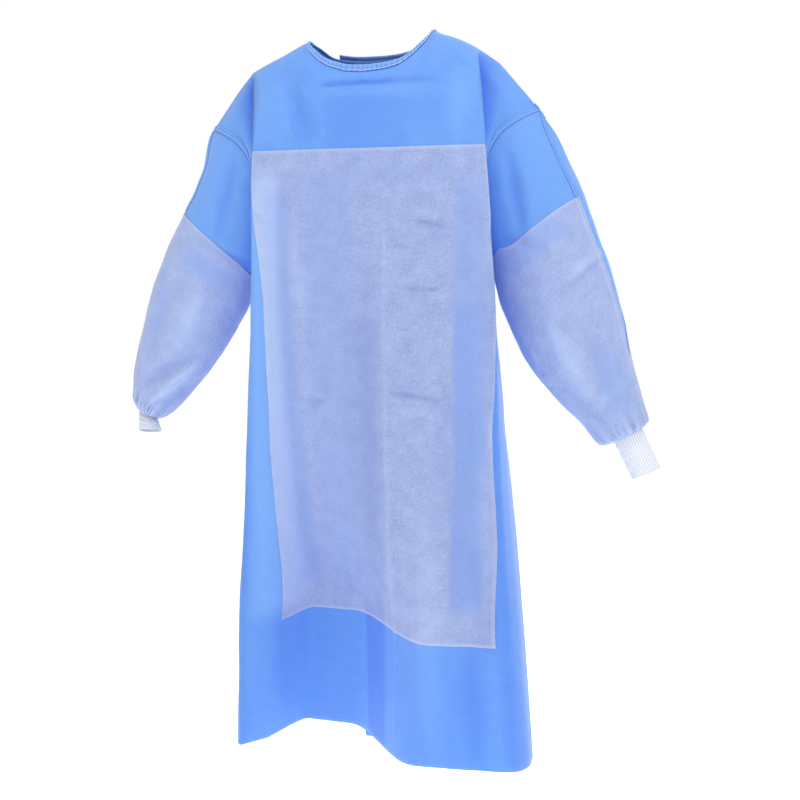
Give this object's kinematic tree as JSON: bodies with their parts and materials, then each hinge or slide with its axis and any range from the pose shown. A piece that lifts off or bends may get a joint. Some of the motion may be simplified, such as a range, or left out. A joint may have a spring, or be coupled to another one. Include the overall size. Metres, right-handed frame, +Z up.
{
  "type": "surgical gown",
  "caption": "Long-sleeved reinforced surgical gown in thin nonwoven cloth, filled out as worn, with knit cuffs, chest and sleeve reinforcement and an overlapping open back.",
  "frame": {"origin": "middle of the neck opening, level with the tops of the shoulders, where the wearer holds the gown up", "axes": "+Z up, +X to the wearer's left, -Y to the front"},
  "size_m": [0.927, 0.3022, 1.2733],
  "materials": {
    "blue_nonwoven": "matte",
    "reinforcement": "matte",
    "neck_binding": "matte",
    "white_knit": "matte",
    "white_tape": "matte"
  },
  "bodies": {
    "root": {"front": "blue_nonwoven", "back_left": "blue_nonwoven", "back_right": "blue_nonwoven", "sleeve_left": "blue_nonwoven", "sleeve_right": "blue_nonwoven", "front_patch": "reinforcement", "sleeve_patch_left": "reinforcement", "sleeve_patch_right": "reinforcement", "cuff_left": "white_knit", "cuff_right": "white_knit", "neck_binding_front": "neck_binding", "neck_binding_back_left": "neck_binding", "neck_binding_back_right": "neck_binding", "neck_tab": "white_tape"}
  },
  "joints": []
}
